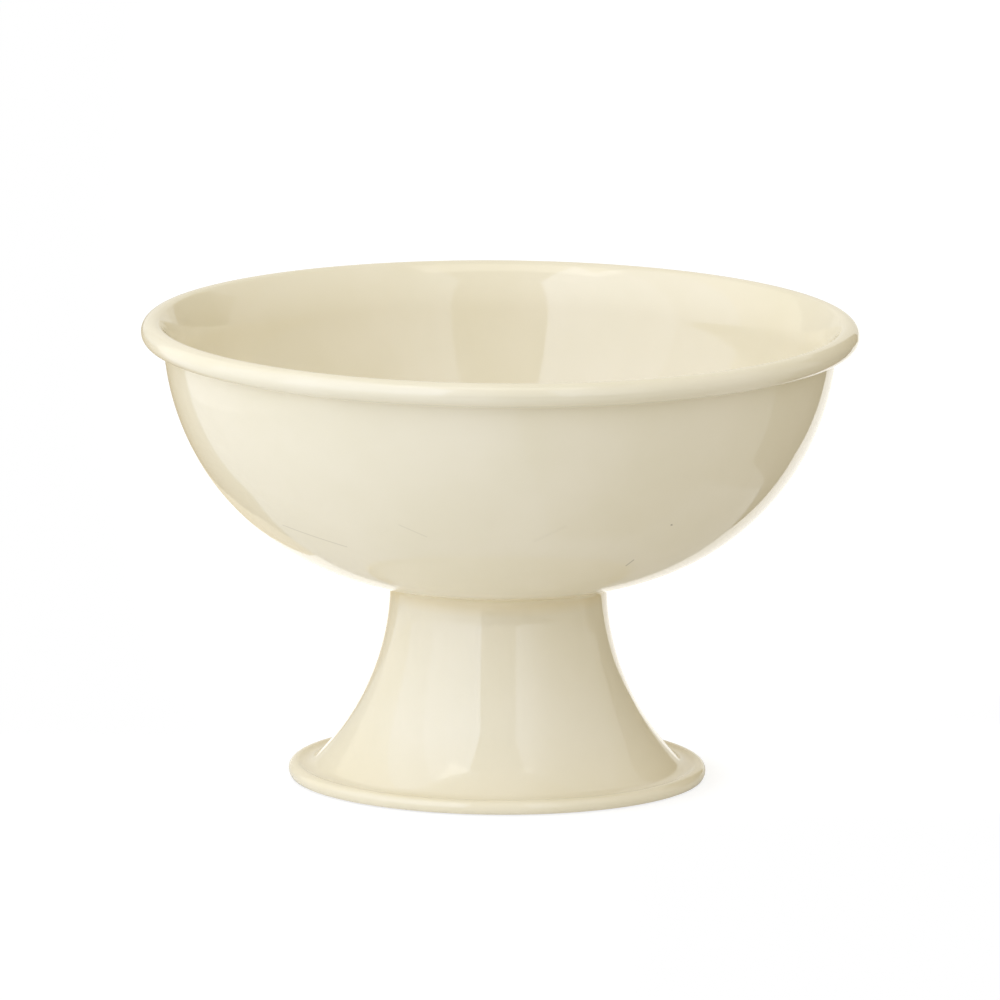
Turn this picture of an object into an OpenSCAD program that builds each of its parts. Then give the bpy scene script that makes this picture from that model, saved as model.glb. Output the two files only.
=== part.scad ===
// Footed ice cream cup: a glazed stoneware bowl with a rolled rim on a hollow flared pedestal.
// All sizes are millimetres over the glaze, unless a comment says otherwise.
// The cup stands on z = 0 and the axis of every turned piece is the Z axis.

/* [Cup] */
// Diameter over the rim bead
rim_d = 125; // [110:0.5:140]
// Height from the foot ring to the top of the rim
height = 80.5; // [74:0.5:92]

/* [Bowl] */
// Height of the bowl alone, from its glazed base to the top of the rim
bowl_h = 46; // [42:0.5:50]
// Radius of the curve of the bowl's outer wall, seen in section
bowl_curve_r = 44.3; // [40:0.1:48]
// Thickness of the bowl's wall with the glaze on both sides
wall_t = 2.4; // [2:0.1:4]
// How far the rim bead stands out from the bowl's outer wall
bead_overhang = 3.85; // [3:0.05:4.5]
// Diameter of the rim bead's round edge
bead_d = 4.2; // [3.4:0.1:5.2]
// Radius of the cove between the rim bead and the wall below it
cove_r = 1.0; // [0.5:0.1:2]
// Radius of the rounded inner edge of the rim
lip_r = 1.6; // [1.2:0.1:2.5]
// Radius of the soft outward bend of the inner wall below that edge
lip_bend_r = 14; // [10:0.5:24]

/* [Pedestal] */
// Diameter of the pedestal at its narrow top
waist_d = 38; // [32:0.5:44]
// Thickness of the pedestal's wall with the glaze on both sides
stem_wall_t = 4.2; // [3:0.1:6]
// Diameter over the foot's rounded edge
foot_d = 72.7; // [68:0.1:78]
// Height of the foot's rounded edge
foot_edge_h = 2.6; // [2:0.1:3.4]
// Distance from the foot's edge in to the bottom of the shallow groove behind it
groove_inset = 2.9; // [2.2:0.1:4]
// Radius of the cove where the flare runs out into that groove
flare_r = 2.5; // [1.5:0.1:4]
// Radius of the inner edge of the foot ring, on the bare clay
ring_round_r = 1.0; // [0.5:0.1:2]

/* [Joint and glaze] */
// Thickness of the slip ring that joins the bowl to the pedestal, at its outer edge
slip_t = 1.0; // [0.6:0.1:1.6]
// Radius of the glaze that pools in the corner under the bowl
pool_r = 1.4; // [1:0.1:2.5]
// Thickness of each coat of glaze
glaze_t = 0.4; // [0.25:0.05:0.6]
// Height of the bare clay left below the outer glaze on the foot
bare_foot_h = 0.25; // [0.2:0.05:0.6]
// Height of the bare clay left below the glaze inside the pedestal
bare_hollow_h = 2; // [1.2:0.1:5]

/* [Hidden] */
$fn = 180;
// How far the points of a round stretch may leave the true arc
arc_error = 0.015;

clay = [0.90, 0.86, 0.76];
slip = [0.84, 0.79, 0.68];
cream = [0.93, 0.90, 0.80];

// Points of a section are [radius, height] pairs
rim_r = rim_d / 2;
bead_r = bead_d / 2;
waist_r = waist_d / 2;
foot_r = foot_d / 2;
edge_r = foot_edge_h / 2;

// Rim and bowl: centres of the bead, the wall, the inner lip, the bend below it and the cove under the bead
inner_r = bowl_curve_r - wall_t;
clay_bowl_r = bowl_curve_r - glaze_t;
bead_c = [rim_r - bead_r, height - bead_r];
bowl_c = [rim_r - bead_overhang - bowl_curve_r, height - bowl_h + bowl_curve_r];
lip_c = [bead_c[0], height - lip_r];
bend_c = meet(lip_c, lip_bend_r - lip_r, bowl_c, inner_r + lip_bend_r);
cove_c = meet(bead_c, bead_r + cove_r, bowl_c, bowl_curve_r + cove_r);

// Joint: the slip ring fills the room between the clay bowl and the flat top of the pedestal
clay_waist_r = waist_r - glaze_t;
slip_angle = -acos(max(clay_waist_r - bowl_c[0], 0) / clay_bowl_r);
pedestal_top = bowl_c[1] + clay_bowl_r * sin(slip_angle) - slip_t;

// Foot: centres of its edge, of the clay under that edge and of the cove behind it
foot_c = [foot_r - edge_r, edge_r];
under_edge_c = [foot_r - glaze_t - edge_r, edge_r];
groove_r = foot_r - groove_inset;
flare_c = [groove_r, edge_r + leg(edge_r + flare_r, foot_c[0] - groove_r)];
foot_stop = -asin((edge_r - bare_foot_h) / (edge_r + glaze_t));

// Stem: the one curve that leaves the waist upright and runs smoothly into the cove at the foot
flare_out = groove_r - waist_r;
flare_drop = pedestal_top - flare_c[1];
stem_curve_r = (pow(flare_out, 2) + pow(flare_drop, 2) - pow(flare_r, 2)) / (2 * (flare_out - flare_r));
stem_c = [waist_r + stem_curve_r, pedestal_top];

// Pool of glaze in the corner under the bowl: against its flat base if that is wider, or its curved wall
pool_z = height - bowl_h - pool_r;
flat_pool_r = stem_c[0] - leg(stem_curve_r - pool_r, pool_z - pedestal_top);
curved_pool_c = meet(stem_c, stem_curve_r - pool_r, bowl_c, bowl_curve_r + pool_r);
pool_c = flat_pool_r < bowl_c[0] ? [flat_pool_r, pool_z] : curved_pool_c;

// Hollow of the pedestal, on the clay
clay_hollow_r = stem_curve_r + stem_wall_t - glaze_t;
hollow_top_r = stem_c[0] - clay_hollow_r;
ring_c = [stem_c[0] - leg(clay_hollow_r - ring_round_r, pedestal_top - ring_round_r), ring_round_r];

// Other short side of a right triangle
function leg(long, short) = sqrt(long * long - short * short);

// Point at distance ra from a and rb from b, on the left going from a to b
function meet(a, ra, b, rb) =
    let (gap = norm(b - a), u = (b - a) / gap, along = (gap * gap + ra * ra - rb * rb) / (2 * gap))
    a + along * u + leg(ra, along) * [-u[1], u[0]];

// Direction from one point to another, from -180 to 180 degrees
function bearing(from, to) = atan2(to[1] - from[1], to[0] - from[0]);

// The same direction from 0 to 360 degrees
function full_bearing(from, to) = (bearing(from, to) + 360) % 360;

// Points along a circle from one angle to another
function arc(centre, r, start, end) =
    let (steps = ceil(abs(end - start) / (2 * acos(1 - arc_error / r))), step = (end - start) / steps)
    [for (i = [0 : steps]) centre + r * [cos(start + i * step), sin(start + i * step)]];

function reversed(line) = [for (i = [len(line) - 1 : -1 : 0]) line[i]];

// Outer wall of the bowl from the given angle up to the cove, at depth d under the glazed surface
function wall_line(start, d) = arc(bowl_c, bowl_curve_r - d, start, bearing(bowl_c, cove_c));

// Rim from the cove over the bead to the crest, at depth d
function rim_line(d) = concat(
    arc(cove_c, cove_r + d, full_bearing(cove_c, bowl_c), full_bearing(cove_c, bead_c)),
    arc(bead_c, bead_r - d, bearing(bead_c, cove_c), 90)
);

// Inside of the bowl from the crest of the rim to the axis, at depth d
function inside_line(d) = concat(
    arc(lip_c, lip_r - d, 90, full_bearing(bend_c, lip_c)),
    arc(bend_c, lip_bend_r - d, full_bearing(bend_c, lip_c), full_bearing(bend_c, bowl_c)),
    arc(bowl_c, inner_r + d, bearing(bowl_c, bend_c), -90),
    [[0, bowl_c[1] - inner_r - d]]
);

// Underside of the bowl from radius r0 in to r1, the given distance below the clay
function belly_line(r0, r1, below) =
    let (r = clay_bowl_r + below, bend = bowl_c[0], base = bowl_c[1] - r)
    concat(
        r0 > bend ? arc(bowl_c, r, -acos((r0 - bend) / r), -acos(max(r1 - bend, 0) / r)) : [[r0, base]],
        r1 < bend ? [[r1, base]] : []
    );

// Foot from the end of the glaze up to the start of the stem, at depth d
function foot_line(d) = concat(
    arc(under_edge_c, edge_r + glaze_t - d, foot_stop, 0),
    arc(foot_c, edge_r - d, 0, bearing(foot_c, flare_c)),
    arc(flare_c, flare_r + d, full_bearing(flare_c, foot_c), full_bearing(stem_c, flare_c))
);

// Stem from the foot up to the given angle, at depth d
function stem_line(end, d) = arc(stem_c, stem_curve_r + d, full_bearing(stem_c, flare_c), end);

// Wall of the hollow from the end of its glaze up to its top, the given distance in from the clay
function hollow_line(inset) =
    let (r = clay_hollow_r + inset)
    arc(stem_c, r, 180 + asin((pedestal_top - bare_hollow_h) / r), 180);

// Solid turned from a section with the given outline, in which repeated points are left out
module turned(line) {
    last = len(line) - 1;
    least = arc_error / 10;
    rotate_extrude()
        polygon([for (i = [0 : last]) if (norm(line[i] - line[i > 0 ? i - 1 : last]) > least) line[i]]);
}

// Clay bowl with its rolled rim
module bowl() {
    color(clay)
        turned(concat(
            reversed(belly_line(hollow_top_r, 0, 0)),
            reversed(belly_line(clay_waist_r, hollow_top_r, 0)),
            wall_line(slip_angle, glaze_t),
            rim_line(glaze_t),
            inside_line(glaze_t)
        ));
}

// Hollow clay pedestal with its bare foot ring
module pedestal() {
    color(clay)
        turned(concat(
            arc(under_edge_c, edge_r, -90, foot_stop),
            foot_line(glaze_t),
            stem_line(180, glaze_t),
            reversed(hollow_line(0)),
            arc(ring_c, ring_round_r, full_bearing(stem_c, ring_c), 270)
        ));
}

// Ring of slip that sticks the bowl to the top of the pedestal
module slip_ring() {
    color(slip)
        turned(concat(
            [[hollow_top_r, pedestal_top], [clay_waist_r, pedestal_top]],
            belly_line(clay_waist_r, hollow_top_r, 0)
        ));
}

// Glaze poured inside the bowl, up to the crest of the rim
module liner_glaze() {
    color(cream)
        turned(concat(reversed(inside_line(glaze_t)), inside_line(0)));
}

// Glaze over the rim, the outside of the bowl and the pedestal, stopping above the foot ring
module outer_glaze() {
    glazed_side = concat(
        foot_line(0),
        stem_line(full_bearing(stem_c, pool_c), 0),
        arc(pool_c, pool_r, full_bearing(stem_c, pool_c), max(full_bearing(pool_c, bowl_c), 90)),
        wall_line(max(bearing(bowl_c, pool_c), -90), 0),
        rim_line(0)
    );
    clay_side = concat(
        foot_line(glaze_t),
        stem_line(180, glaze_t),
        [[clay_waist_r, pedestal_top + slip_t]],
        wall_line(slip_angle, glaze_t),
        rim_line(glaze_t)
    );
    color(cream)
        turned(concat(glazed_side, reversed(clay_side)));
}

// Glaze inside the pedestal and under the bowl
module underside_glaze() {
    clay_side = concat(hollow_line(0), belly_line(hollow_top_r, 0, 0));
    glazed_side = concat(hollow_line(glaze_t), belly_line(hollow_top_r - glaze_t, 0, glaze_t));
    color(cream)
        turned(concat(clay_side, reversed(glazed_side)));
}

bowl();
pedestal();
slip_ring();
liner_glaze();
outer_glaze();
underside_glaze();
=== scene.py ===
"""Looks of a footed ice cream cup in cream-glazed stoneware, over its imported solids.

The cup stands on z = 0 round the Z axis. Its sizes are in millimetres, as in the part's source, and become
metres when a mesh is made. Sections are lists of (radius, height) points. The stage is laid out in metres.
"""

import math

import bpy
from mathutils import Matrix, Vector, noise


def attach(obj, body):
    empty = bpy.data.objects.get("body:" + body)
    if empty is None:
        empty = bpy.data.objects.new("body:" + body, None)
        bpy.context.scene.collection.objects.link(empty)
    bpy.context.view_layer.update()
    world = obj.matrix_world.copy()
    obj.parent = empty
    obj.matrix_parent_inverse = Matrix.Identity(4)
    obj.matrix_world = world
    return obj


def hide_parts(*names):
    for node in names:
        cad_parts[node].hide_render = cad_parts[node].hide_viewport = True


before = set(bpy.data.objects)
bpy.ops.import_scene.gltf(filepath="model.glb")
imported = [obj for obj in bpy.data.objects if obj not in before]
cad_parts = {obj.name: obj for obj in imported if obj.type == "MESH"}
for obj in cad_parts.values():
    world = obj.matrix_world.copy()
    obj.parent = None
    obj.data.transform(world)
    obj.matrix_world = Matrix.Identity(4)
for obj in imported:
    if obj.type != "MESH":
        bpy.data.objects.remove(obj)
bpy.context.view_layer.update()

MM = 0.001

# Sizes of the cup over the glaze, in millimetres
RIM_R = 62.5
HEIGHT = 80.5
BOWL_H = 46
BOWL_CURVE_R = 44.3
WALL_T = 2.4
BEAD_OVERHANG = 3.85
BEAD_R = 2.1
COVE_R = 1.0
LIP_R = 1.6
LIP_BEND_R = 14
WAIST_R = 19
STEM_WALL_T = 4.2
FOOT_R = 36.35
EDGE_R = 1.3
GROOVE_INSET = 2.9
FLARE_R = 2.5
SLIP_T = 1.0
POOL_R = 1.4
GLAZE_T = 0.4
BARE_FOOT_H = 0.25
BARE_HOLLOW_H = 2

# Fineness of the turned meshes
TURN_STEPS = 288
ARC_STEP_MM = 0.7
ARC_STEP_DEG = 5
# On the hidden clay side of a coat only every third point is kept, apart from sharper turns than this
HIDDEN_STRIDE = 3
CORNER = math.radians(20)
# Points nearer than this are the same point
SAME_POINT_MM = 1e-4
# Edges that bend more than this aren't shown smooth
SHARP_EDGE = math.radians(40)

# Soft waviness of the fired glaze: how deep it goes, how long its waves are and how far from an edge it fades
WAVE_DEPTH_MM = 0.12
WAVE_LENGTH_MM = 24
WAVE_FADE_MM = 5


def leg(long, short):
    """Other short side of a right triangle."""
    return math.sqrt(long * long - short * short)


def meet(a, ra, b, rb):
    """Point at distance ra from a and rb from b, on the left going from a to b."""
    gap = (b - a).length
    u = (b - a) / gap
    along = (gap * gap + ra * ra - rb * rb) / (2 * gap)
    return a + along * u + leg(ra, along) * Vector((-u.y, u.x))


def bearing(start, end):
    """Direction from one point to another, from -180 to 180 degrees."""
    return math.degrees(math.atan2(end.y - start.y, end.x - start.x))


def full_bearing(start, end):
    """The same direction from 0 to 360 degrees."""
    return bearing(start, end) % 360


def arc(centre, r, start, end):
    """Points along a circle from one angle to another, in degrees."""
    turn = abs(end - start)
    steps = max(1, math.ceil(max(turn / ARC_STEP_DEG, math.radians(turn) * r / ARC_STEP_MM)))
    angles = [math.radians(start + (end - start) * i / steps) for i in range(steps + 1)]
    return [centre + r * Vector((math.cos(a), math.sin(a))) for a in angles]


# Centres and radii that follow from the sizes, as in the part's source
INNER_R = BOWL_CURVE_R - WALL_T
CLAY_BOWL_R = BOWL_CURVE_R - GLAZE_T
CLAY_WAIST_R = WAIST_R - GLAZE_T
GROOVE_R = FOOT_R - GROOVE_INSET
bead_c = Vector((RIM_R - BEAD_R, HEIGHT - BEAD_R))
bowl_c = Vector((RIM_R - BEAD_OVERHANG - BOWL_CURVE_R, HEIGHT - BOWL_H + BOWL_CURVE_R))
lip_c = Vector((bead_c.x, HEIGHT - LIP_R))
bend_c = meet(lip_c, LIP_BEND_R - LIP_R, bowl_c, INNER_R + LIP_BEND_R)
cove_c = meet(bead_c, BEAD_R + COVE_R, bowl_c, BOWL_CURVE_R + COVE_R)
slip_angle = -math.degrees(math.acos((CLAY_WAIST_R - bowl_c.x) / CLAY_BOWL_R))
pedestal_top = bowl_c.y + CLAY_BOWL_R * math.sin(math.radians(slip_angle)) - SLIP_T
foot_c = Vector((FOOT_R - EDGE_R, EDGE_R))
under_edge_c = Vector((FOOT_R - GLAZE_T - EDGE_R, EDGE_R))
flare_c = Vector((GROOVE_R, EDGE_R + leg(EDGE_R + FLARE_R, foot_c.x - GROOVE_R)))
foot_stop = -math.degrees(math.asin((EDGE_R - BARE_FOOT_H) / (EDGE_R + GLAZE_T)))
flare_out = GROOVE_R - WAIST_R
flare_drop = pedestal_top - flare_c.y
stem_r = (flare_out ** 2 + flare_drop ** 2 - FLARE_R ** 2) / (2 * (flare_out - FLARE_R))
stem_c = Vector((WAIST_R + stem_r, pedestal_top))
pool_c = meet(stem_c, stem_r - POOL_R, bowl_c, BOWL_CURVE_R + POOL_R)
clay_hollow_r = stem_r + STEM_WALL_T - GLAZE_T
hollow_top_r = stem_c.x - clay_hollow_r


def wall_line(start, depth):
    """Outer wall of the bowl from an angle up to the cove, at a depth under the glazed surface."""
    return arc(bowl_c, BOWL_CURVE_R - depth, start, bearing(bowl_c, cove_c))


def rim_line(depth):
    """Rim from the cove over the bead to the crest."""
    return [
        *arc(cove_c, COVE_R + depth, full_bearing(cove_c, bowl_c), full_bearing(cove_c, bead_c)),
        *arc(bead_c, BEAD_R - depth, bearing(bead_c, cove_c), 90),
    ]


def inside_line(depth):
    """Inside of the bowl from the crest of the rim to the axis."""
    floor_z = bowl_c.y - INNER_R - depth
    flat_steps = math.ceil(bowl_c.x / ARC_STEP_MM)
    return [
        *arc(lip_c, LIP_R - depth, 90, full_bearing(bend_c, lip_c)),
        *arc(bend_c, LIP_BEND_R - depth, full_bearing(bend_c, lip_c), full_bearing(bend_c, bowl_c)),
        *arc(bowl_c, INNER_R + depth, bearing(bowl_c, bend_c), -90),
        *[Vector((bowl_c.x * (1 - i / flat_steps), floor_z)) for i in range(1, flat_steps + 1)],
    ]


def belly_line(r0, below):
    """Underside of the clay bowl from radius r0 in to the axis, a distance below the clay."""
    r = CLAY_BOWL_R + below
    curve = arc(bowl_c, r, -math.degrees(math.acos((r0 - bowl_c.x) / r)), -90) if r0 > bowl_c.x else []
    return [*curve, Vector((min(r0, bowl_c.x), bowl_c.y - r)), Vector((0, bowl_c.y - r))]


def foot_line(depth):
    """Foot from the end of the glaze up to the start of the stem."""
    return [
        *arc(under_edge_c, EDGE_R + GLAZE_T - depth, foot_stop, 0),
        *arc(foot_c, EDGE_R - depth, 0, bearing(foot_c, flare_c)),
        *arc(flare_c, FLARE_R + depth, full_bearing(flare_c, foot_c), full_bearing(stem_c, flare_c)),
    ]


def stem_line(end, depth):
    """Stem from the foot up to an angle."""
    return arc(stem_c, stem_r + depth, full_bearing(stem_c, flare_c), end)


def hollow_line(inset):
    """Wall of the hollow from the end of its glaze up to its top."""
    r = clay_hollow_r + inset
    return arc(stem_c, r, 180 + math.degrees(math.asin((pedestal_top - BARE_HOLLOW_H) / r)), 180)


def underside_line(inset):
    """Underside of the bowl from the axis out and down the wall of the hollow, a distance from the clay."""
    line = hollow_line(inset) + belly_line(hollow_top_r - inset, inset)
    return line[::-1]


def without_repeats(line):
    """A line without points that repeat the one before."""
    return [p for i, p in enumerate(line) if i == 0 or (p - line[i - 1]).length > SAME_POINT_MM]


def thinned(line):
    """Every third point of a line, with its ends and its corners."""
    last = len(line) - 1
    bends = [(b - a).angle(c - b) for a, b, c in zip(line, line[1:], line[2:])]
    corners = [i + 1 for i, bend in enumerate(bends) if bend > CORNER]
    return [p for i, p in enumerate(line) if i % HIDDEN_STRIDE == 0 or i == last or i in corners]


def waved(line):
    """For each point of a glazed line, its inward direction and the share of the waviness that reaches it."""
    lengths = [0.0]
    for a, b in zip(line, line[1:]):
        lengths.append(lengths[-1] + (b - a).length)
    result = []
    for i, length in enumerate(lengths):
        along = line[min(i + 1, len(line) - 1)] - line[max(i - 1, 0)]
        inward = Vector((-along.y, along.x)).normalized()
        to_end = 0 if line[i].x < SAME_POINT_MM else min(length, lengths[-1] - length)
        result.append((inward, min(1, to_end / WAVE_FADE_MM)))
    return result


def ring(point, inward, reach):
    """One turn of a point of a section, pressed in by the waviness, or a single point on the axis."""
    if point.x < SAME_POINT_MM:
        return [(0, 0, point.y * MM)]
    points = []
    for k in range(TURN_STEPS):
        turn = math.tau * k / TURN_STEPS
        place = Vector((point.x * math.cos(turn), point.x * math.sin(turn), point.y))
        depth = WAVE_DEPTH_MM * reach * (0.5 + 0.5 * noise.noise(place / WAVE_LENGTH_MM))
        r = point.x + inward.x * depth
        z = point.y + inward.y * depth
        points.append((r * math.cos(turn) * MM, r * math.sin(turn) * MM, z * MM))
    return points


def faces_between(a, b):
    """Faces between two rings of vertex numbers, of which either may repeat one number on the axis."""
    faces = []
    for k in range(TURN_STEPS):
        m = (k + 1) % TURN_STEPS
        corners = list(dict.fromkeys((a[k], a[m], b[m], b[k])))
        if len(corners) > 2:
            faces.append(corners)
    return faces


def turned(name, material, glazed, clay_side):
    """Closed turned mesh between a wavy glazed line and the line on the clay behind it.

    Both lines run in the same direction, with the clay on their left.
    """
    glazed = without_repeats(glazed)
    hidden = thinned(without_repeats(clay_side[::-1]))
    hidden = [p for p in hidden if min((p - q).length for q in (glazed[0], glazed[-1])) > SAME_POINT_MM]
    waves = waved(glazed) + [(Vector((0, 0)), 0)] * len(hidden)
    verts, rings, faces = [], [], []
    for point, (inward, reach) in zip(glazed + hidden, waves):
        points = ring(point, inward, reach)
        first = len(verts)
        rings.append([first + k % len(points) for k in range(TURN_STEPS)])
        verts += points
    for a, b in zip(rings, rings[1:] + rings[:1]):
        faces += faces_between(a, b)
    mesh = bpy.data.meshes.new(name)
    mesh.from_pydata(verts, [], faces)
    mesh.validate()
    mesh.polygons.foreach_set("use_smooth", [True] * len(mesh.polygons))
    mesh.set_sharp_from_angle(angle=SHARP_EDGE)
    mesh.materials.append(material)
    piece = bpy.data.objects.new(name, mesh)
    bpy.context.scene.collection.objects.link(piece)
    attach(piece, "root")
    return piece


class Nodes:
    """Short hand for making the nodes of one material."""

    def __init__(self, name):
        self.material = bpy.data.materials.new(name)
        self.material.use_nodes = True
        self.tree = self.material.node_tree
        self.shader = self.tree.nodes["Principled BSDF"]

    def add(self, kind, inputs=None, **settings):
        """New node with some settings, whose inputs are linked to sockets or set to values."""
        node = self.tree.nodes.new(kind)
        for key, value in settings.items():
            setattr(node, key, value)
        for key, value in (inputs or {}).items():
            if isinstance(value, bpy.types.NodeSocket):
                self.tree.links.new(value, node.inputs[key])
            else:
                node.inputs[key].default_value = value
        return node

    def link(self, socket, name):
        self.tree.links.new(socket, self.shader.inputs[name])

    def place(self):
        """Position on the object."""
        return self.add("ShaderNodeTexCoord").outputs["Object"]

    def noise(self, place, size_mm, detail=2.0):
        scale = 1 / (size_mm * MM)
        node = self.add("ShaderNodeTexNoise", {"Vector": place, "Scale": scale, "Detail": detail})
        return node.outputs["Fac"]

    def math(self, operation, a, b=0.0):
        return self.add("ShaderNodeMath", {0: a, 1: b}, operation=operation).outputs["Value"]

    def vector(self, operation, a, b=(0, 0, 0), output="Vector"):
        return self.add("ShaderNodeVectorMath", {0: a, 1: b}, operation=operation).outputs[output]

    def ramp(self, value, low, high, out_low, out_high):
        """A value scaled from one range to another, and kept in it."""
        node = self.add("ShaderNodeMapRange", {
            "Value": value, "From Min": low, "From Max": high, "To Min": out_low, "To Max": out_high,
        })
        return node.outputs["Result"]

    def mix(self, share, a, b):
        """Colour between a and b: the sockets with these numbers are the node's share and its two colours."""
        return self.add("ShaderNodeMix", {0: share, 6: a, 7: b}, data_type="RGBA").outputs[2]


def srgb(red, green, blue):
    """Linear colour with alpha from display values of 0 to 255."""
    def linear(v):
        v = v / 255
        return v / 12.92 if v <= 0.04045 else ((v + 0.055) / 1.055) ** 2.4
    return (linear(red), linear(green), linear(blue), 1)


# Noise values between which a pattern goes from its one end to its other: in tone, and in roughness
TONE_RANGE = (0.35, 0.65)
ROUGHNESS_RANGE = (0.3, 0.7)

# Glaze: its two tones and their patches, its roughness and the patches of that
GLAZE_TONES = (srgb(232, 224, 199), srgb(235, 227, 204))
GLAZE_TONE_MM = 18
GLAZE_ROUGHNESS = (0.04, 0.07)
GLAZE_ROUGHNESS_MM = 9
GLAZE_IOR = 1.62

# Painted warm reflection low on the foot fades over these heights, and painted warm shade in the corner
# under the bowl over these distances from its own height. The shares say how much of the tone is there.
PAINTED_WARM_TONE = srgb(233, 219, 182)
FOOT_REFLECTION_FADE = (3 * MM, 12 * MM)
FOOT_REFLECTION_SHARE = 0.25
CORNER_SHADE_Z = 34.5 * MM
CORNER_SHADE_FADE = (1 * MM, 3 * MM)
CORNER_SHADE_SHARE = 0.7

# Flaws in the glaze of the bowl: the two ends of each as (x, z), its width and its depth of tone.
# They are on the front only, and fade out over these places along Y.
FLAW_TONE = srgb(104, 90, 62)
FRONT_FADE = (-1 * MM, 0)
FLAWS = (
    ((-37.3, 49.7), (-26.2, 47.4), 0.3, 0.28),
    ((-17.2, 53.3), (-12.4, 51.2), 0.35, 0.12),
    ((22.0, 44.2), (23.3, 45.4), 0.3, 0.5),
    ((6.2, 50.8), (11.4, 53.6), 1.0, 0.04),
    ((29.7, 52.2), (29.8, 52.2), 0.4, 0.9),
)

# Bare clay: sizes of its grain, mottle and specks, and the looks of each
GRAIN_MM = 0.5
GRAIN_DEPTH_MM = 0.05
GRAIN_STRENGTH = 0.6
MOTTLE_MM = 6
SPECK_MM = 0.9
SPECK_RANGE = (0.70, 0.76)
SPECK_SHARE = 0.5
SPECK_TONE = srgb(120, 92, 62)
CLAY_ROUGHNESS = (0.75, 0.95)


def start_glaze(name):
    """Nodes of a glossy glaze, with its place socket and its slightly uneven cream colour."""
    n = Nodes(name)
    place = n.place()
    tone = n.ramp(n.noise(place, GLAZE_TONE_MM, detail=3), *TONE_RANGE, 0, 1)
    cream = n.mix(tone, *GLAZE_TONES)
    roughness = n.ramp(n.noise(place, GLAZE_ROUGHNESS_MM), *ROUGHNESS_RANGE, *GLAZE_ROUGHNESS)
    n.link(roughness, "Roughness")
    n.shader.inputs["IOR"].default_value = GLAZE_IOR
    return n, place, cream


def inner_glaze_material():
    """Glaze inside the bowl and under it."""
    n, _, cream = start_glaze("cream_glaze")
    n.link(cream, "Base Color")
    return n.material


def flaw_mask(n, place, start, end, width, depth):
    """Share of dark tone along one flaw: full on the line between its ends, and gone at half its width."""
    a = Vector((start[0], 0, start[1])) * MM
    along = Vector((end[0], 0, end[1])) * MM - a
    flat = n.vector("MULTIPLY", place, (1, 0, 1))
    from_start = n.vector("SUBTRACT", flat, a)
    share = n.vector("DOT_PRODUCT", from_start, along / along.length_squared, "Value")
    kept = n.ramp(share, 0, 1, 0, 1)
    foot = n.add("ShaderNodeVectorMath", {0: along, "Scale": kept}, operation="SCALE").outputs["Vector"]
    away = n.vector("DISTANCE", from_start, foot, "Value")
    return n.ramp(away, 0, width / 2 * MM, depth, 0)


def outer_glaze_material():
    """Glaze of the outside, with the flaws on its front, a painted warm reflection low on the foot
    and painted warm shade in the corner under the bowl.
    """
    n, place, colour = start_glaze("outer_cream_glaze")
    parts = n.add("ShaderNodeSeparateXYZ", {"Vector": place}).outputs
    # Painted warm reflection, stronger towards the foot
    foot_reflection = n.ramp(parts["Z"], *FOOT_REFLECTION_FADE, FOOT_REFLECTION_SHARE, 0)
    # Painted warm shade around the corner under the bowl
    from_corner = n.math("ABSOLUTE", n.math("SUBTRACT", parts["Z"], CORNER_SHADE_Z))
    corner_shade = n.ramp(from_corner, *CORNER_SHADE_FADE, CORNER_SHADE_SHARE, 0)
    colour = n.mix(n.math("MAXIMUM", foot_reflection, corner_shade), colour, PAINTED_WARM_TONE)
    front = n.ramp(parts["Y"], *FRONT_FADE, 1, 0)
    for start, end, width, depth in FLAWS:
        mask = n.math("MULTIPLY", flaw_mask(n, place, start, end, width, depth), front)
        colour = n.mix(mask, colour, FLAW_TONE)
    n.link(colour, "Base Color")
    return n.material


def clay_material(name, light, dark):
    """Bare fired clay: matt, fine-grained and slightly mottled."""
    n = Nodes(name)
    place = n.place()
    grain = n.noise(place, GRAIN_MM, detail=4)
    mottle = n.mix(n.ramp(n.noise(place, MOTTLE_MM, detail=3), *TONE_RANGE, 0, 1), light, dark)
    specks = n.ramp(n.noise(place, SPECK_MM), *SPECK_RANGE, 0, SPECK_SHARE)
    n.link(n.mix(specks, mottle, SPECK_TONE), "Base Color")
    n.link(n.ramp(grain, *ROUGHNESS_RANGE, *CLAY_ROUGHNESS), "Roughness")
    bump = n.add("ShaderNodeBump", {
        "Height": grain, "Distance": GRAIN_DEPTH_MM * MM, "Strength": GRAIN_STRENGTH,
    })
    n.link(bump.outputs["Normal"], "Normal")
    return n.material


def dress(node, material):
    """Gives a CAD node a material in place of its own."""
    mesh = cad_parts[node].data
    mesh.materials.clear()
    mesh.materials.append(material)


outer_glaze = outer_glaze_material()
inner_glaze = inner_glaze_material()
clay = clay_material("bare_clay", srgb(226, 212, 184), srgb(212, 196, 165))
slip = clay_material("joining_slip", srgb(206, 190, 160), srgb(194, 176, 144))

outer_side = [
    *foot_line(0),
    *stem_line(full_bearing(stem_c, pool_c), 0),
    *arc(pool_c, POOL_R, full_bearing(stem_c, pool_c), full_bearing(pool_c, bowl_c)),
    *wall_line(bearing(bowl_c, pool_c), 0),
    *rim_line(0),
]
outer_clay_side = [
    *foot_line(GLAZE_T),
    *stem_line(180, GLAZE_T),
    *wall_line(slip_angle, GLAZE_T),
    *rim_line(GLAZE_T),
]
outer_coat = turned("outer_glaze_coat", outer_glaze, outer_side, outer_clay_side)
liner_coat = turned("liner_glaze_coat", inner_glaze, inside_line(0), inside_line(GLAZE_T))
underside_coat = turned("underside_glaze_coat", inner_glaze, underside_line(GLAZE_T), underside_line(0))
for coat, node in (
    (outer_coat, "outer_glaze"),
    (liner_coat, "liner_glaze"),
    (underside_coat, "underside_glaze"),
):
    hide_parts(node)
for node in ("bowl", "pedestal"):
    dress(node, clay)
dress("slip_ring", slip)

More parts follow.
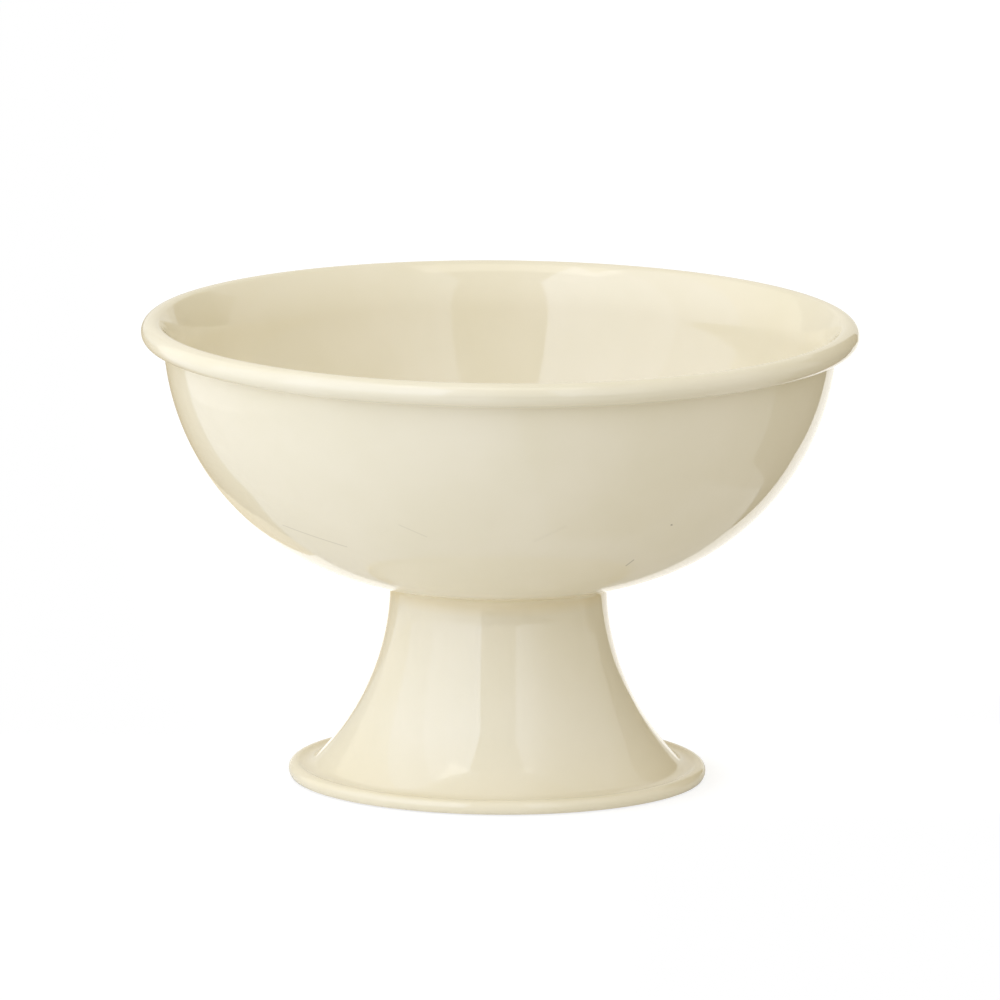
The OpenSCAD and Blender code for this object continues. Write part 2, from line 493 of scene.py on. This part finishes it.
# Camera: far away with a long lens, looking a little down on the cup
CAMERA_AWAY = 4.0
CAMERA_ELEVATION = math.radians(10.65)
CAMERA_TARGET = Vector((0.15 * MM, 0, 48.85 * MM))
CAMERA_ROLL = math.radians(0.45)
CAMERA_REACH = 50
VIEW_WIDTH = 174.06 * MM
SENSOR_WIDTH_MM = 36

camera_data = bpy.data.cameras.new("camera")
camera_data.sensor_width = SENSOR_WIDTH_MM
camera_data.lens = SENSOR_WIDTH_MM * CAMERA_AWAY / VIEW_WIDTH
camera_data.clip_end = CAMERA_REACH
camera = bpy.data.objects.new("camera", camera_data)
to_camera = Vector((0, -math.cos(CAMERA_ELEVATION), math.sin(CAMERA_ELEVATION)))
camera_place = Matrix.Translation(CAMERA_TARGET + to_camera * CAMERA_AWAY)
camera_aim = (-to_camera).to_track_quat("-Z", "Y").to_matrix().to_4x4()
camera.matrix_world = camera_place @ camera_aim @ Matrix.Rotation(CAMERA_ROLL, 4, "Z")
bpy.context.scene.collection.objects.link(camera)
bpy.context.scene.camera = camera
bpy.context.scene.view_settings.view_transform = "Standard"

# Tints of the lights: daylight at the sides, and a warmer room
COOL = (0.82, 0.94, 1.24)
WHITE = (1, 1, 1)
WARM = (1.07, 1.01, 0.86)


def softbox(name, centre, facing, width, height, radiance, tint=WHITE):
    """Rectangular light of even brightness that faces a point, and that the camera itself doesn't see."""
    data = bpy.data.lights.new(name, "AREA")
    data.shape = "RECTANGLE"
    data.size = width
    data.size_y = height
    data.color = tint
    data.energy = radiance * math.pi * width * height
    light = bpy.data.objects.new(name, data)
    light.location = centre
    light.rotation_euler = (Vector(facing) - Vector(centre)).to_track_quat("-Z", "Y").to_euler()
    light.visible_camera = False
    bpy.context.scene.collection.objects.link(light)


# Side lights in strips that fade towards the back: front and back edge along Y, height, radiance and tint.
# No light stands in front of the cup, between the two sides.
SIDE_X = 0.55
LEFT_STRIPS = (
    (-1.8, -1.2, 2, 1.45, COOL),
    (-1.2, -0.8, 2, 1.35, COOL),
    (-0.8, -0.45, 2, 1.25, COOL),
    (-0.45, -0.2, 1.3, 1.1, COOL),
    (-0.2, 0.1, 1.3, 0.7, COOL),
    (0.1, 0.6, 1.3, 0.4, WARM),
)
RIGHT_STRIPS = (
    (-1.7, -1.2, 2, 0.75, COOL),
    (-1.2, -0.8, 2, 0.6, COOL),
    (-0.8, -0.6, 2, 0.4, COOL),
    (-0.6, -0.45, 2, 0.25, COOL),
    (-0.45, 0.18, 1.3, 0.14, COOL),
)
for side, x, strips in (("left", -SIDE_X, LEFT_STRIPS), ("right", SIDE_X, RIGHT_STRIPS)):
    for i, (front, back, top, radiance, tint) in enumerate(strips):
        middle = ((front + back) / 2, top / 2)
        softbox(f"{side}_softbox_{i}", (x, *middle), (0, *middle), back - front, top, radiance, tint)
softbox("top_softbox", (-0.1, -0.4, 1.3), (-0.1, -0.4, 0), width=1.1, height=0.4, radiance=1.0, tint=WARM)
softbox("back_softbox", (0, 1.5, 0.65), (0, 0, 0.65), width=1.1, height=1.3, radiance=0.15)

# Floor: pale, and matt as all sheets of the stage. To the camera its own glow and its shade go over from
# their values at the foot to plain white, between these distances from the axis.
FLOOR_SIZE = 8
FLOOR_SHADE = 0.85
FOOT_FADE = (38 * MM, 43 * MM)
GLOW_AT_FOOT = 0.78
SHADE_AT_FOOT = 0.25
MATT = 0.9


def card(name, corners, look):
    """Flat sheet of the stage."""
    mesh = bpy.data.meshes.new(name)
    mesh.from_pydata(corners, [], [range(len(corners))])
    mesh.materials.append(look.material)
    sheet = bpy.data.objects.new(name, mesh)
    bpy.context.scene.collection.objects.link(sheet)
    return sheet


def matt_look(name):
    """Nodes of a matt sheet of the stage, whose glow is white."""
    n = Nodes(name)
    n.shader.inputs["Roughness"].default_value = MATT
    n.shader.inputs["Emission Color"].default_value = (*WHITE, 1)
    return n


def floor_look():
    """Nodes of the floor, which looks different to the camera than to the cup."""
    n = matt_look("pale_floor")
    from_axis = n.vector("LENGTH", n.place(), output="Value")
    seen = n.add("ShaderNodeLightPath").outputs["Is Camera Ray"]
    seen_glow = n.ramp(from_axis, *FOOT_FADE, GLOW_AT_FOOT, 1)
    n.link(n.math("MULTIPLY", seen, seen_glow), "Emission Strength")
    seen_shade = n.ramp(from_axis, *FOOT_FADE, SHADE_AT_FOOT, 0)
    n.link(n.mix(seen, (FLOOR_SHADE, FLOOR_SHADE, FLOOR_SHADE, 1), seen_shade), "Base Color")
    return n


half = FLOOR_SIZE / 2
card("floor", [(-half, -half, 0), (half, -half, 0), (half, half, 0), (-half, half, 0)], floor_look())

# Hidden sheets paint reflections into the glaze: painted shade and shadow, painted warm reflections, and
# glows of painted light, though they are no lamps.
# Height of those that lie on the floor, and the shades of all
SHEET_Z = 0.5 * MM
# Black, brown and grey give painted shade and shadow, tan and cream painted warm reflections; pale and black
# also lie under glows of painted light.
BLACK = (0.03, 0.03, 0.03)
BROWN = (0.36, 0.3, 0.18)
TAN = (0.55, 0.46, 0.29)
CREAM = (0.9, 0.8, 0.6)
GREY = (0.68, 0.65, 0.59)
PALE = (0.8, 0.8, 0.8)


def hidden_card(name, shade, glow, corners):
    """Sheet of one shade that the glaze mirrors as a painted reflection, with a glow of painted light though
    it is no lamp, but that the camera itself doesn't see.
    """
    look = matt_look(name)
    look.shader.inputs["Base Color"].default_value = (*shade, 1)
    look.shader.inputs["Emission Strength"].default_value = glow
    card(name, corners, look).visible_camera = False


def floor_sheet(name, shade, glow, corners):
    """Hidden card that lies on the floor."""
    hidden_card(name, shade, glow, [(x, y, SHEET_Z) for x, y in corners])


# Edge between the grey and the brown sheet on the right: painted shade and painted shadow
GREY_EDGE = [(0.105, 0.05), (0.117, 0.028), (0.126, 0.013), (0.25, 0.05), (0.9, 0.245)]
# Edges of the cream sheet behind the cup on the left, towards the tan and the bright one. Cream and tan are
# painted warm reflections, the bright one painted light.
TAN_EDGE = [(-0.06, 0.032), (-0.074, 0.05), (-0.083, 0.1), (-0.08, 0.2), (-0.075, 0.35)]
BRIGHT_EDGE = [(-0.05, 0.032), (-0.05, 0.045), (-0.057, 0.085), (-0.064, 0.17)]
# Painted shade in front of the cup between the side lamps, and beside it glows that paint the reflection of
# their light
floor_sheet("painted_shade_front", BLACK, 0, [(-0.082, -0.26), (-0.55, -1.75), (0.55, -1.75), (0.082, -0.26)])
floor_sheet("painted_lamp_reflection_front_left", BLACK, 1.1, [(-0.55, -0.26), (-0.55, -1.75), (-0.082, -0.26)])
floor_sheet("painted_lamp_reflection_front_right", BLACK, 0.1, [(0.55, -0.26), (0.082, -0.26), (0.55, -1.75)])
# Painted shadow of the cup on the floor to its right, and nearer the cup a lighter painted shade
floor_sheet("painted_shadow_right", BROWN, 0, [
    (0.068, 0.05), *GREY_EDGE, (0.9, 1.2), (0.64, 1.2), (0.12, 0.115),
])
floor_sheet("painted_shade_right", GREY, 0, [
    (0.02, -0.26), (0.02, -0.05), (0.05, -0.03), (0.1, -0.03), (0.1, 0.05), *GREY_EDGE, (0.9, -0.26),
])
# Painted warm reflections behind the cup on the left, darker further out
floor_sheet("painted_reflection_tan_left", TAN, 0, [
    (-0.091, 0.032), (-0.157, 0.106), (-1.06, 1.2), (-0.075, 1.2), *reversed(TAN_EDGE),
])
floor_sheet("painted_reflection_cream_left", CREAM, 0, [*TAN_EDGE, *reversed(BRIGHT_EDGE)])
# Glowing sheets of painted light on the left and behind the cup, though they are no lamps
floor_sheet("painted_light_left", PALE, 0.3, [(-0.2, -0.26), (-0.2, 0.15), (-0.55, 0.57), (-0.55, -0.26)])
floor_sheet("painted_light_back", PALE, 0.6, [
    *BRIGHT_EDGE, (-0.075, 0.35), (-0.075, 1.2),
    (0.64, 1.2), (0.12, 0.115), (0.068, 0.05), (0.05, 0.045),
])
# Upright sheet of painted shade to the right behind the cup
hidden_card("painted_shade_flag", BROWN, 0, [
    (0.525, 0.29, 0), (0.225, 0.556, 0), (0.225, 0.556, 0.4), (0.525, 0.29, 0.4),
])

ROOM_LIGHT = 0.66
world = bpy.data.worlds.new("studio")
bpy.context.scene.world = world
world.use_nodes = True
world.node_tree.nodes["Background"].inputs["Color"].default_value = (*WARM, 1)
world.node_tree.nodes["Background"].inputs["Strength"].default_value = ROOM_LIGHT
